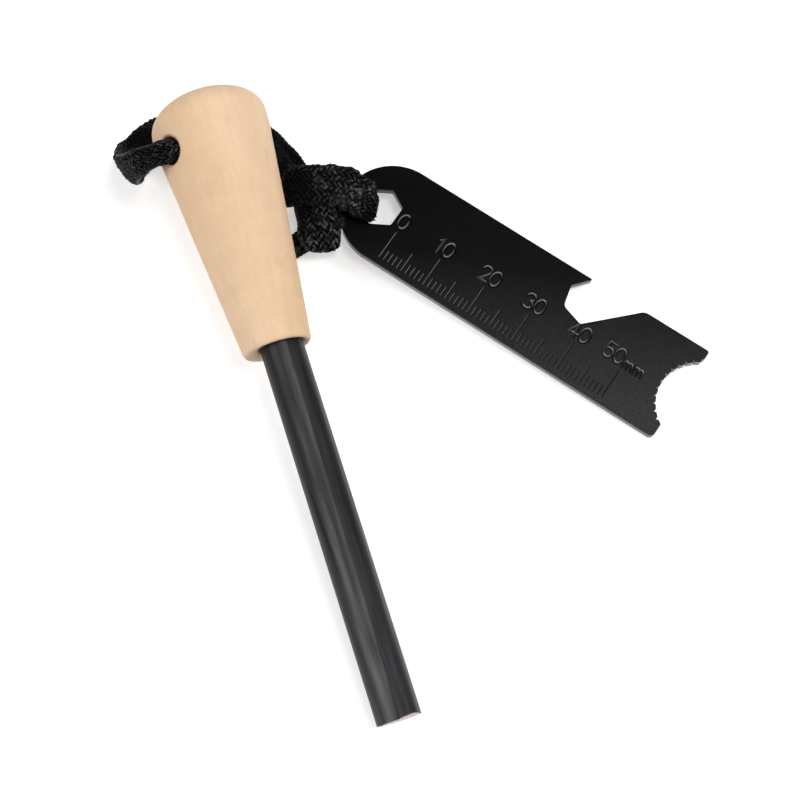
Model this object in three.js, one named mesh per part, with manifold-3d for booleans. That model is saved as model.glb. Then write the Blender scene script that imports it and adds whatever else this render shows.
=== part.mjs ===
// A flint and steel fire starter: a fire rod glued into a tapered wooden handle, and a flat steel
// striker that hangs on the same loop of flat braided cord.
// Millimetres, +Z up. The set lies on a flat surface as it is laid out for use: the handle's thick
// end and the striker's round end rest on the cord, the rod's tip and the striker's far end on
// the surface.
import * as THREE from 'three';
import { mergeVertices } from 'three/addons/utils/BufferGeometryUtils.js';
import Module from 'manifold-3d';

const wasm = await Module();
wasm.setup();

// Clearances and cuts
const fitGap = 0.3; // between faces that touch on the real object
const cutOverrun = 2; // how far a cutting body runs past the face that it cuts
const weldTolerance = 0.0001;

// Fire rod
const rodDiameter = 8;
const rodLength = 100;
const rodShown = 71; // from the tip to the handle's rim
const rodEdgeBevel = 0.35;
const rodSides = 36;

// Wooden handle, along its own axis from the rim
const handleLength = 51.6;
const rimDiameter = 12.4; // the taper carried on to the rim's plane
const rimRounding = 1.2;
const bellyDiameter = 22.1; // at the widest place
const bellyAlong = 45.7;
const taperRise = 0.111; // radius gained for each millimetre along the straight taper
const taperEndShare = 0.85; // where the straight taper ends, as a share of the way to the belly
const bellyEaseShare = 0.5; // length of the tangents that ease the taper into the belly
const domeFullnessShare = 0.61; // a little fuller than a quarter ellipse, which has 0.55
const handleSides = 48;
const handleProfileSteps = 9; // points along each of its curves

// Cross hole for the cord, drilled through the handle's axis
const crossHoleDiameter = 6.2;
const crossHoleAlong = 40; // from the rim
const crossHoleTurn = 51.2; // degrees from straight up, towards the left
const crossHoleChamfer = 0.5;
const crossHoleSides = 28;

// Blind bore for the rod, and the glue that fills it
const glueThickness = 0.5;
const glueGap = 0.1; // to the rod and to the bore
const glueSetback = 1; // from the rim to the glue's edge
const boreRunOut = 1.2; // behind the rod's inner end

// Striker plate. Its own X runs from the hexagon's centre to the toothed end.
const strikerThickness = 2;
const strikerWidth = 20.5;
const strikerRoundReach = 7.43; // from the hexagon's centre to the round end
const strikerReach = 67.87; // from the hexagon's centre to the longer horn's end
const strikerShortHorn = 0.4; // how much the other horn stands back
const hexagonAcrossFlats = 7.3;
const strikerCornerRounding = 0.6;
const strikerLowerRounding = 1.1;
const roundEndSteps = 26;

// Scraper: a hollow arc with teeth between the two horns
const scraperTipRadius = 8.69;
const scraperToothDepth = 0.37;
const scraperCentreBeyond = 4.25; // from the longer horn's end to the arc's centre
const scraperCentreRise = 0.1; // from the plate's middle line
const scraperTeeth = 12;
const scraperToothPitch = 9.955; // degrees
const hornShoulder = 0.4; // how far the last tooth lies inside a horn's straight end
// A tooth's outline: place along its pitch, and how much of the depth it has there
const toothShares = [[-0.5, 0], [-0.28, 0.92], [0.1, 1], [0.36, 0.84]];

// Opener notch in the plate's upper edge, with a hook at its left
const openerAlong = 39.1; // from the hexagon's centre to the notch's left wall
const openerMouth = 11.7;
const openerFloorStart = 0.95; // right of the left wall
const openerFloorEnd = 5.5;
const openerDepth = 9.05;
const openerFloorRise = 1.4;
const hookOverhang = 2.8;
const hookThickness = 3.2;
const openerTightRounding = 0.4;
const openerWideRounding = 0.8;
const cornerSteps = 4;

// Flat braided cord
const cordThickness = 2.4;
const cordSides = 12;
const cordSectionPower = 2.6; // above 2, a section fuller than an ellipse
const cordStepsPerSpan = 2;
const catmullTension = 0.5;

// How the pieces lie
const strikerHeading = -51.21; // degrees, from +X
const hexagonRight = 26.65; // from the rod's axis to the hexagon's centre
const hexagonAhead = 94.36; // from the rod's tip to the hexagon's centre

const toRadians = THREE.MathUtils.degToRad;

// The handle's belly and the rod's tip set how far the axis rises
const rodRadius = rodDiameter / 2;
const bellyRadius = bellyDiameter / 2;
const restHeight = cordThickness + fitGap;
const bellyFromTip = rodShown + bellyAlong;
const bellyStep = bellyRadius - rodRadius;
const axisRise = Math.asin(restHeight / Math.hypot(bellyFromTip, bellyStep))
  + Math.atan2(bellyStep, bellyFromTip);

// The cord under the hexagon sets how far the striker tips
const strikerTip = Math.asin(restHeight / strikerReach);

// Solids and booleans
function bareGeometry(geometry) {
  const bare = new THREE.BufferGeometry();
  bare.setAttribute('position', geometry.getAttribute('position').clone());
  if (geometry.index) bare.setIndex(geometry.index.clone());
  return mergeVertices(bare, weldTolerance);
}

function toManifold(geometry) {
  const bare = bareGeometry(geometry);
  const index = bare.index.array;
  const kept = [];
  for (let i = 0; i < index.length; i += 3) {
    const [a, b, c] = [index[i], index[i + 1], index[i + 2]];
    if (a !== b && b !== c && a !== c) kept.push(a, b, c);
  }
  return new wasm.Manifold(new wasm.Mesh({
    numProp: 3,
    vertProperties: new Float32Array(bare.getAttribute('position').array),
    triVerts: new Uint32Array(kept),
  }));
}

function fromManifold(manifold) {
  const mesh = manifold.getMesh();
  const geometry = new THREE.BufferGeometry();
  geometry.setAttribute('position', new THREE.BufferAttribute(mesh.vertProperties, 3));
  geometry.setIndex(new THREE.BufferAttribute(mesh.triVerts, 1));
  geometry.computeVertexNormals();
  return geometry;
}

function piece(name, geometry, colour, roughness, metalness) {
  const material = new THREE.MeshStandardMaterial({ color: colour, roughness, metalness });
  const mesh = new THREE.Mesh(geometry, material);
  mesh.name = name;
  return mesh;
}

// A body of revolution about its own Y, closed at both ends of the profile
function revolved(profile, sides) {
  return fromManifold(toManifold(new THREE.LatheGeometry(profile, sides)));
}

function cylinderAt(radius, from, to, sides) {
  const profile = [
    new THREE.Vector2(0, from),
    new THREE.Vector2(radius, from),
    new THREE.Vector2(radius, to),
    new THREE.Vector2(0, to),
  ];
  return new THREE.LatheGeometry(profile, sides);
}

// Fire rod, along +Y from its tip
function fireRod() {
  const inner = rodRadius - rodEdgeBevel;
  const profile = [
    new THREE.Vector2(0, 0),
    new THREE.Vector2(inner, 0),
    new THREE.Vector2(rodRadius, rodEdgeBevel),
    new THREE.Vector2(rodRadius, rodLength - rodEdgeBevel),
    new THREE.Vector2(inner, rodLength),
    new THREE.Vector2(0, rodLength),
  ];
  return piece('ferro_rod', revolved(profile, rodSides), 0x2f2f38, 0.38, 0.75);
}

// Glue sleeve between the rod and its bore
const glueInnerRadius = rodRadius + glueGap;
const glueOuterRadius = glueInnerRadius + glueThickness;
const boreRadius = glueOuterRadius + glueGap;
const boreEnd = rodLength + boreRunOut;

function glueSleeve() {
  const from = rodShown + glueSetback;
  const outer = toManifold(cylinderAt(glueOuterRadius, from, rodLength, rodSides));
  const inner = toManifold(
    cylinderAt(glueInnerRadius, from - cutOverrun, rodLength + cutOverrun, rodSides));
  return piece('rod_adhesive', fromManifold(outer.subtract(inner)), 0xb9a27c, 0.5, 0);
}

// Wooden handle: a straight taper, an eased belly and a full dome
function handleProfile() {
  const rimRadius = rimDiameter / 2;
  const taperEnd = bellyAlong * taperEndShare;
  const taperEndRadius = rimRadius + taperRise * taperEnd;
  const ease = (bellyAlong - taperEnd) * bellyEaseShare;
  const dome = handleLength - bellyAlong;
  const path = new THREE.Path();
  path.moveTo(rimRadius - rimRounding, rodShown);
  path.quadraticCurveTo(rimRadius, rodShown,
    rimRadius + taperRise * rimRounding, rodShown + rimRounding);
  path.lineTo(taperEndRadius, rodShown + taperEnd);
  path.bezierCurveTo(
    taperEndRadius + taperRise * ease, rodShown + taperEnd + ease,
    bellyRadius, bellyFromTip - ease,
    bellyRadius, bellyFromTip);
  path.bezierCurveTo(
    bellyRadius, bellyFromTip + dome * domeFullnessShare,
    bellyRadius * domeFullnessShare, rodShown + handleLength,
    0, rodShown + handleLength);
  return [new THREE.Vector2(0, rodShown), ...path.getPoints(handleProfileSteps)];
}
// The cross hole's own frame: its middle on the handle's axis, its +Y towards the left mouth
function crossHoleCut() {
  const half = bellyDiameter;
  const radius = crossHoleDiameter / 2;
  const cut = cylinderAt(radius, -half, half, crossHoleSides);
  cut.rotateX(Math.PI / 2);
  cut.rotateY(-toRadians(crossHoleTurn));
  cut.translate(0, rodShown + crossHoleAlong, 0);
  return toManifold(cut);
}

// A cone at each mouth takes the sharp edge off the hole
function mouthChamfer(side) {
  const radius = crossHoleDiameter / 2;
  const surface = (rimDiameter / 2) + taperRise * crossHoleAlong;
  const reach = crossHoleChamfer + cutOverrun;
  const profile = [
    new THREE.Vector2(0, surface - crossHoleChamfer),
    new THREE.Vector2(radius, surface - crossHoleChamfer),
    new THREE.Vector2(radius + reach, surface + cutOverrun),
    new THREE.Vector2(0, surface + cutOverrun),
  ];
  const cone = new THREE.LatheGeometry(profile, crossHoleSides);
  cone.rotateX(side * Math.PI / 2);
  cone.rotateY(-toRadians(crossHoleTurn));
  cone.translate(0, rodShown + crossHoleAlong, 0);
  return toManifold(cone);
}

function woodHandle() {
  const body = toManifold(new THREE.LatheGeometry(handleProfile(), handleSides));
  const bore = toManifold(cylinderAt(boreRadius, rodShown - cutOverrun, boreEnd, rodSides));
  let handle = body.subtract(bore).subtract(crossHoleCut());
  for (const side of [1, -1]) handle = handle.subtract(mouthChamfer(side));
  return piece('wood_handle', fromManifold(handle), 0xe6c7a2, 0.62, 0);
}

// Points of an arc about a centre
function arcPoints(x, y, radius, from, to, steps) {
  const points = [];
  for (let i = 0; i <= steps; i += 1) {
    const angle = from + (to - from) * i / steps;
    points.push(new THREE.Vector2(x + radius * Math.cos(angle), y + radius * Math.sin(angle)));
  }
  return points;
}

// A corner between two straight sides, eased over the given length of each
function easedCorner(before, corner, after, ease) {
  const start = corner.clone().add(before.clone().sub(corner).setLength(ease));
  const end = corner.clone().add(after.clone().sub(corner).setLength(ease));
  return new THREE.QuadraticBezierCurve(start, corner, end).getPoints(cornerSteps);
}

function easedLine(corners) {
  const points = [];
  for (let i = 1; i < corners.length - 1; i += 1) {
    const [before, corner, after] = [corners[i - 1].at, corners[i].at, corners[i + 1].at];
    points.push(...easedCorner(before, corner, after, corners[i].ease));
  }
  return points;
}

const corner = (x, y, ease) => ({ at: new THREE.Vector2(x, y), ease });

// Teeth of the scraper, from the upper horn to the lower one
function scraperPoints() {
  const centreX = strikerReach + scraperCentreBeyond;
  const pitch = toRadians(scraperToothPitch);
  const first = Math.PI - pitch * (scraperTeeth - 1) / 2;
  const points = [];
  for (let tooth = 0; tooth < scraperTeeth; tooth += 1) {
    for (const [along, depth] of toothShares) {
      const angle = first + pitch * (tooth + along);
      const radius = scraperTipRadius + scraperToothDepth * (1 - depth);
      points.push(new THREE.Vector2(
        centreX + radius * Math.cos(angle),
        scraperCentreRise + radius * Math.sin(angle)));
    }
  }
  return points;
}

function strikerOutline() {
  const half = strikerWidth / 2;
  const roundCentre = half - strikerRoundReach;
  const shortReach = strikerReach - strikerShortHorn;
  const teeth = scraperPoints();
  const firstTooth = teeth[0];
  const lastTooth = teeth[teeth.length - 1];
  const hookTip = openerAlong + hookOverhang;
  const openerEnd = hookTip + openerMouth;
  const floorY = half - openerDepth;
  const upperHorn = easedLine([
    corner(openerEnd, half, 0),
    corner(strikerReach, half, strikerCornerRounding),
    corner(strikerReach, firstTooth.y + hornShoulder, hornShoulder),
    corner(firstTooth.x, firstTooth.y, 0),
  ]);
  const lowerHorn = easedLine([
    corner(lastTooth.x, lastTooth.y, 0),
    corner(shortReach, lastTooth.y - hornShoulder, hornShoulder),
    corner(shortReach, -half, strikerLowerRounding),
    corner(0, -half, 0),
  ]);
  const opener = easedLine([
    corner(0, half, 0),
    corner(hookTip, half, openerTightRounding),
    corner(openerAlong, half - hookThickness, openerTightRounding),
    corner(openerAlong + openerFloorStart, floorY + openerFloorRise, openerWideRounding),
    corner(openerAlong + openerFloorEnd, floorY, openerTightRounding),
    corner(openerEnd, half, openerWideRounding),
    corner(strikerReach, half, 0),
  ]);
  const roundEnd = arcPoints(roundCentre, 0, half, 3 * Math.PI / 2, Math.PI / 2, roundEndSteps);
  // clockwise from the round end's lower start
  return [...roundEnd, ...opener, ...upperHorn, ...teeth, ...lowerHorn];
}

function strikerPlate() {
  const shape = new THREE.Shape(strikerOutline());
  const vertexRadius = hexagonAcrossFlats / 2 / Math.cos(Math.PI / 6);
  const hexagon = arcPoints(0, 0, vertexRadius, Math.PI / 2, Math.PI / 2 + 5 * Math.PI / 3, 5);
  shape.holes.push(new THREE.Path(hexagon));
  const plate = new THREE.ExtrudeGeometry(shape, { depth: strikerThickness, bevelEnabled: false });
  plate.translate(0, 0, -strikerThickness);
  return piece('striker_plate', fromManifold(toManifold(plate)), 0x2b2c30, 0.5, 0.8);
}

// Routes of the cord, in the frame of the rod's tip, each row a place on the cord's middle line,
// the way that its flat face looks, its width and its thickness there
const handleLoopRoute = [
  // from the knot up to the hole's right mouth
  [11.9, 105.4, 4.2, 0.2, 0, 1, 4.6, 2.6],
  [11.4, 107.6, 4.2, 0.5, 0, 0.9, 4.8, 2.8],
  [10.7, 109.9, 4.7, 0.8, -0.2, 0.6, 4.9, 3.2],
  [8.9, 111.2, 6.05, 0.6, 0, 0.8, 5, 3.6],
  // through the handle, where the hole squeezes it
  [4.7, 110.9, 9.4, 0.6, 0, 0.8, 5.2, 3.8],
  [0, 110.6, 13.2, 0.6, 0, 0.8, 5.2, 3.8],
  [-4.7, 110.3, 16.9, 0.6, 0, 0.8, 5.2, 3.8],
  [-8.8, 110, 20.2, 0.6, 0, 0.8, 5.3, 3.6],
  // down the handle's left side
  [-11, 109.5, 21, 0.1, -0.1, 1, 5.8, 3.2],
  [-13.5, 109.8, 19.9, -0.4, -0.3, 0.9, 6.4, 3],
  [-15.9, 110.9, 17, -0.8, -0.4, 0.4, 7, 3],
  [-17.3, 113.1, 12.5, -0.9, -0.4, 0.1, 7.4, 3],
  [-17.7, 116, 8, -0.9, -0.4, -0.1, 7.8, 2.8],
  [-16.8, 119.4, 3.8, -0.8, -0.3, -0.6, 8, 2.6],
  // under the handle's thick end and back to the knot
  [-14.4, 122.2, 1.6, 0, 0, -1, 8, 2.4],
  [-10.8, 124, 1.3, 0, 0, -1, 7.8, 2.4],
  [-6.2, 124.3, 1.25, 0, 0, -1, 7.2, 2.4],
  [-1.2, 123, 1.25, 0, 0, -1, 6.8, 2.4],
  [3.5, 120.8, 1.25, 0, 0, -1, 6.4, 2.4],
  [7.7, 117.5, 1.3, 0, 0, -1, 5.8, 2.5],
  [10.8, 113.4, 1.5, 0, 0, -1, 5, 2.7],
  [13.1, 109.4, 1.7, 0, 0, -1, 4.4, 2.9],
  [14.7, 105.4, 1.8, 0, 0, -1, 4.4, 2.9],
];
const strikerLoopRoute = [
  // over the knot
  [10.3, 103.2, 6.7, -0.5, 0, 0.9, 8.2, 2.3],
  [13.2, 102, 7.8, -0.15, 0, 1, 8.6, 2.4],
  [16.9, 100.6, 8.2, 0, 0, 1, 9, 2.4],
  [20.2, 99.15, 7.9, 0.1, 0, 1, 9.1, 2.4],
  // over the striker's round end
  [21.9, 98, 7.25, 0.1, 0, 1, 9, 2.4],
  [23.1, 96.85, 6.6, 0.1, 0, 1, 8.6, 2.4],
  // down through the hexagon
  [24.15, 95.95, 6.2, 0.3, -0.2, 1, 8, 2.3],
  [25, 95.4, 5.65, 0.9, -0.55, 0.9, 7.2, 2.2],
  [25.3, 95.25, 4.75, 0.86, -0.51, 0, 5.9, 2],
  [25.3, 95.25, 3.75, 0.86, -0.51, 0, 5.5, 2],
  [25.25, 95.3, 2.75, 0.86, -0.51, 0, 5.5, 2],
  [24.9, 95.55, 1.8, 0.83, -0.48, -1, 5.7, 2.1],
  // back under the striker
  [23.9, 96.1, 1.4, 0, 0, -1, 6.1, 2.2],
  [21.1, 97.8, 1.35, 0, 0, -1, 6.4, 2.3],
  [17.6, 98.9, 1.3, 0, 0, -1, 6.4, 2.3],
];
const knotLobeRoute = [
  [14.6, 101.6, 4.5, 0, 0.2, 1, 7, 2.8],
  [14.2, 99, 4.9, -0.1, 0, 1, 8.2, 2.8],
  [13.7, 96, 5.3, -0.25, 0, 1, 7.6, 2.8],
  [13.5, 93.1, 5.1, -0.25, -0.3, 1, 7.4, 2.8],
  [13.4, 91.2, 4.1, 0, -0.9, 0.5, 7.6, 2.6],
  [13.2, 90.8, 3.2, 0, -1, 0, 7, 2.4],
];
const knotHeartRoute = [
  [13.6, 103.2, 3, 0, 0, 1, 3.4, 3.4],
  [13.7, 101.6, 3, 0, 0, 1, 4.8, 4.8],
  [13.8, 99.2, 3, 0, 0, 1, 5.2, 5],
  [13.9, 97.8, 3, 0, 0, 1, 4, 4],
];
const leftTailRoute = [
  [14, 94.8, 1.5, 0, 0, 1, 4.8, 2.4],
  [11.6, 93.9, 1.5, 0, 0, 1, 5.2, 2.4],
  [9.2, 93, 1.5, 0, 0, 1, 5.2, 2.4],
  [6.4, 91.9, 1.5, 0, 0, 1, 5, 2.4],
];
const rightTailRoute = [
  [18.4, 95.3, 6.3, 0, 0, 1, 2, 1.6],
  [18.6, 93.7, 6.4, 0, 0, 1, 2, 1.8],
  [18.5, 92.1, 6.4, 0, 0, 1, 2, 1.8],
];

// A tube of a flat section along a route
function cordTube(route) {
  const curveOf = (first) => new THREE.CatmullRomCurve3(
    route.map((row) => new THREE.Vector3(row[first], row[first + 1], row[first + 2] ?? 0)),
    false, 'catmullrom', catmullTension);
  const [places, faces, sizes] = [curveOf(0), curveOf(3), curveOf(6)];
  const steps = (route.length - 1) * cordStepsPerSpan;
  const positions = [];
  const index = [];
  for (let i = 0; i <= steps; i += 1) {
    const share = i / steps;
    const place = places.getPoint(share);
    const along = places.getTangent(share);
    const face = faces.getPoint(share);
    face.addScaledVector(along, -face.dot(along)).normalize();
    const across = face.clone().cross(along);
    const size = sizes.getPoint(share);
    for (let side = 0; side < cordSides; side += 1) {
      const turn = 2 * Math.PI * (side + 0.5) / cordSides;
      const bulge = (value) => Math.sign(value) * Math.abs(value) ** (2 / cordSectionPower);
      const point = place.clone()
        .addScaledVector(across, bulge(Math.cos(turn)) * size.x / 2)
        .addScaledVector(face, bulge(Math.sin(turn)) * size.y / 2);
      positions.push(point.x, point.y, point.z);
    }
  }
  for (let i = 0; i < steps; i += 1) {
    for (let side = 0; side < cordSides; side += 1) {
      const a = i * cordSides + side;
      const b = i * cordSides + (side + 1) % cordSides;
      index.push(a, b, b + cordSides, a, b + cordSides, a + cordSides);
    }
  }
  const last = steps * cordSides;
  for (let side = 1; side < cordSides - 1; side += 1) {
    index.push(0, side + 1, side);
    index.push(last, last + side, last + side + 1);
  }
  const geometry = new THREE.BufferGeometry();
  geometry.setAttribute('position', new THREE.Float32BufferAttribute(positions, 3));
  geometry.setIndex(index);
  return geometry;
}

function routeLength(route) {
  const places = route.map((row) => new THREE.Vector3(row[0], row[1], row[2]));
  return new THREE.CatmullRomCurve3(places, false, 'catmullrom', catmullTension).getLength();
}

function cordPiece(name, ...routes) {
  let body = toManifold(cordTube(routes[0]));
  for (const route of routes.slice(1)) body = body.add(toManifold(cordTube(route)));
  return piece(name, fromManifold(body), 0x1c1c1f, 0.7, 0);
}

// The rod, its glue and the handle share the rod's axis, which rises towards the handle
const fireSteel = new THREE.Group();
fireSteel.add(fireRod(), glueSleeve(), woodHandle());
fireSteel.position.set(0, 0, rodRadius * Math.cos(axisRise));
fireSteel.rotation.x = axisRise;

// The striker's far lower edge lies on the surface
const striker = new THREE.Group();
striker.add(strikerPlate());
striker.rotation.order = 'ZYX';
striker.rotation.set(0, strikerTip, toRadians(strikerHeading));
striker.position.set(hexagonRight, hexagonAhead,
  strikerReach * Math.sin(strikerTip) + strikerThickness * Math.cos(strikerTip));

const cords = new THREE.Group();
cords.add(
  cordPiece('cord_handle_loop', handleLoopRoute),
  cordPiece('cord_striker_loop', strikerLoopRoute),
  cordPiece('cord_knot', knotLobeRoute, knotHeartRoute),
  cordPiece('cord_tail_left', leftTailRoute),
  cordPiece('cord_tail_right', rightTailRoute),
);

// The part's own frame has the middle of the rigid pieces at X = Y = 0 and the surface at Z = 0
const rigid = new THREE.Group();
rigid.add(fireSteel, striker);
rigid.updateMatrixWorld(true);
const bounds = new THREE.Box3().setFromObject(rigid, true);
const middle = bounds.getCenter(new THREE.Vector3());

const fireStarter = new THREE.Group();
fireStarter.add(rigid, cords);
fireStarter.position.set(-middle.x, -middle.y, -bounds.min.z);
fireStarter.updateMatrixWorld(true);

const shown = (value) => value.toFixed(2);
const size = bounds.getSize(new THREE.Vector3());
console.log('rod tip on the surface at', shown(-middle.x), shown(-middle.y), shown(-bounds.min.z));
console.log('rigid pieces', shown(size.x), shown(size.y), shown(size.z));
console.log('hexagon centre', striker.position.toArray().map(shown).join(' '));
console.log('axis rise', shown(THREE.MathUtils.radToDeg(axisRise)));
console.log('striker tip', shown(THREE.MathUtils.radToDeg(strikerTip)));
console.log('cord handle loop length', shown(routeLength(handleLoopRoute)));
console.log('cord striker loop length', shown(routeLength(strikerLoopRoute)));

export default fireStarter;
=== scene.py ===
from math import asin, cos, pi, radians, sin, sqrt, tau

import bmesh
import bpy
import numpy as np
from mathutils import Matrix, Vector
from mathutils.geometry import delaunay_2d_cdt
from numpy.linalg import norm


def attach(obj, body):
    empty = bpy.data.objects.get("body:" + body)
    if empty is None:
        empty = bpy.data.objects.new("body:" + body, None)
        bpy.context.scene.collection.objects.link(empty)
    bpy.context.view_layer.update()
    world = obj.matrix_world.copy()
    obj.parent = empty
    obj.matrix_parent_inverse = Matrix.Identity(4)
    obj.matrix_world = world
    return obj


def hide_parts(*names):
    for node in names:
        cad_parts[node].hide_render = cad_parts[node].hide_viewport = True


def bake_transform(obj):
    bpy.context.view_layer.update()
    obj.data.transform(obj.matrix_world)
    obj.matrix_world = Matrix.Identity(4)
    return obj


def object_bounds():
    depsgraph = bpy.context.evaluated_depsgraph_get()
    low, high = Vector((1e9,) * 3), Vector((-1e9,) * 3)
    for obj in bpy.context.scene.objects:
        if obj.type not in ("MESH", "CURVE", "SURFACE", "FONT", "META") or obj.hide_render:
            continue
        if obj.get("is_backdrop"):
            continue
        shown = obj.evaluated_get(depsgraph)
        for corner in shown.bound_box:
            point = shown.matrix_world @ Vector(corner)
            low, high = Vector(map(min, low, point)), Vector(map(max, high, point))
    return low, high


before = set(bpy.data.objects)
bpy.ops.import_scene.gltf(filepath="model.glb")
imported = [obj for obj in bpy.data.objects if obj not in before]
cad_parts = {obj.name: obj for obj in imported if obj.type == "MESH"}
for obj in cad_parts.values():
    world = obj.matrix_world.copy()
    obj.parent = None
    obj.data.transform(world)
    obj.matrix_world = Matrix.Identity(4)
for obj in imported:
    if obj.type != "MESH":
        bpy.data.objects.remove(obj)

scene = bpy.context.scene
cad_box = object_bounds()
TIP_IN_PART = np.array([-32.93, -60.98, 0.0])
TINY = 1e-9  # keeps a division off zero


def metres(points):
    return (np.asarray(points, float) + TIP_IN_PART) / 1000


def add_object(name, data):
    obj = bpy.data.objects.new(name, data)
    scene.collection.objects.link(obj)
    return obj


def facing(at, target):
    """The turn that looks from one place at another."""
    return (target - at).to_track_quat("-Z", "Y").to_euler()


# Camera: above the rod's tip, looking down on the set
LENS, SENSOR_WIDTH = 72, 36
NEAREST_M = 0.01
EYE_M, TARGET_M = Vector((-0.04291, -0.09247, 0.28703)), Vector((-0.01435, -0.00369, 0))


def make_camera():
    data = bpy.data.cameras.new("camera")
    data.lens, data.sensor_width, data.clip_start = LENS, SENSOR_WIDTH, NEAREST_M
    camera = add_object("camera", data)
    camera.location = EYE_M
    camera.rotation_euler = facing(EYE_M, TARGET_M)
    scene.camera = camera


make_camera()


def add_mesh(name, points, faces, material, sharp_deg=None, uv=None, **values):
    """A mesh object, with values as point attributes."""
    data = bpy.data.meshes.new(name)
    data.from_pydata(metres(points).tolist(), [], [tuple(f) for f in faces])
    data.validate()
    if uv is not None:
        layer = data.uv_layers.new(name="yarn")
        loops = np.empty(len(data.loops), int)
        data.loops.foreach_get("vertex_index", loops)
        layer.data.foreach_set("uv", np.asarray(uv, np.float32)[loops].ravel())
    data.shade_smooth()
    if sharp_deg is not None:
        data.set_sharp_from_angle(angle=radians(sharp_deg))
    data.materials.append(material)
    for key, numbers in values.items():
        layer = data.attributes.new(key, "FLOAT", "POINT")
        layer.data.foreach_set("value", np.asarray(numbers, np.float32))
    return add_object(name, data)


def bridge(first, second):
    """Quads between two closed rings of vertex numbers."""
    n = len(first)
    return [(first[i], first[(i + 1) % n], second[(i + 1) % n], second[i]) for i in range(n)]


def tube_faces(start, rings, sides):
    """Quads along a tube whose rings are numbered in order, and its ends."""
    rows = [range(start + k * sides, start + (k + 1) * sides) for k in range(rings)]
    faces = [quad for a, b in zip(rows, rows[1:]) for quad in bridge(a, b)]
    return faces + [rows[0][::-1], rows[-1]]


def fix_outward(obj, weld_m=None):
    """Turns all faces outwards, after joining points closer than weld_m."""
    work = bmesh.new()
    work.from_mesh(obj.data)
    if weld_m:
        bmesh.ops.remove_doubles(work, verts=work.verts, dist=weld_m)
    bmesh.ops.recalc_face_normals(work, faces=work.faces)
    work.to_mesh(obj.data)
    work.free()
    return obj


def unit(rows):
    return rows / norm(rows, axis=1)[:, None]


def square_to(along, rows):
    return unit(rows - (rows * along).sum(1)[:, None] * along)


# Node materials
class Nodes:
    """A material. An input takes a plain value or another node's output."""

    def __init__(self, name):
        self.material = bpy.data.materials.new(name)
        self.material.use_nodes = True
        self.tree = self.material.node_tree
        self.shader = self.tree.nodes["Principled BSDF"]

    def feed(self, socket, value):
        if isinstance(value, bpy.types.NodeSocket):
            self.tree.links.new(value, socket)
        else:
            socket.default_value = value

    def set(self, node, **settings):
        for key, value in settings.items():
            name = key.replace("_", " ")
            if name in node.inputs:
                self.feed(node.inputs[name], value)
            else:
                setattr(node, key, value)
        return node

    def add(self, kind, **settings):
        return self.set(self.tree.nodes.new(kind), **settings)

    def math(self, operation, a, b, clamp=False):
        node = self.add("ShaderNodeMath", operation=operation, use_clamp=clamp)
        self.feed(node.inputs[0], a)
        self.feed(node.inputs[1], b)
        return node.outputs[0]

    def attribute(self, name):
        return self.add("ShaderNodeAttribute", attribute_name=name).outputs["Fac"]

    def mapped(self, scale=(1, 1, 1), rotation=(0, 0, 0), source="Object"):
        coordinates = self.add("ShaderNodeTexCoord").outputs[source]
        return self.add("ShaderNodeMapping", Vector=coordinates, Scale=scale,
                        Rotation=rotation).outputs[0]

    def noise(self, scale, detail, roughness, *mapping, **source):
        """Noise on the mapped coordinates, in waves for each metre."""
        vector = self.mapped(*mapping, **source)
        return self.add("ShaderNodeTexNoise", Vector=vector, Scale=scale, Detail=detail,
                        Roughness=roughness).outputs["Fac"]

    def ramp(self, value, *stops):
        """A colour from stops, each a place with a colour or a grey."""
        node = self.add("ShaderNodeValToRGB")
        elements = node.color_ramp.elements
        while len(elements) < len(stops):
            elements.new(0.5)
        for element, (at, colour) in zip(elements, stops):
            element.position = at
            element.color = (*colour, 1) if isinstance(colour, tuple) else (*[colour] * 3, 1)
        self.feed(node.inputs[0], value)
        return node.outputs[0]

    def mix(self, share, a, b, blend="MIX"):
        node = self.add("ShaderNodeMix", data_type="RGBA", blend_type=blend)
        for socket, value in ((node.inputs[0], share), (node.inputs[6], a), (node.inputs[7], b)):
            self.feed(socket, value)
        return node.outputs[2]

    def shared(self, first, second, share):
        """Two heights as one, the second by its share."""
        return self.math("ADD", self.math("MULTIPLY", first, 1 - share),
                         self.math("MULTIPLY", second, share))

    def bump(self, height, distance_m, strength, **normal):
        return self.add("ShaderNodeBump", Height=height, Distance=distance_m, Strength=strength,
                        **normal).outputs[0]

    def finish(self, **inputs):
        self.set(self.shader, **inputs)
        return self.material


ALONG_ROD = (radians(-4.78), 0, 0)  # turns a material's Y to the rod's and handle's axis
# the way along which the striker's painted sheen grows
PAINTED_SHEEN_WAY, PAINTED_SHEEN_FROM = (-20.9, -38.3, 0), 0.826  # for each metre, and at the middle


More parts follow.
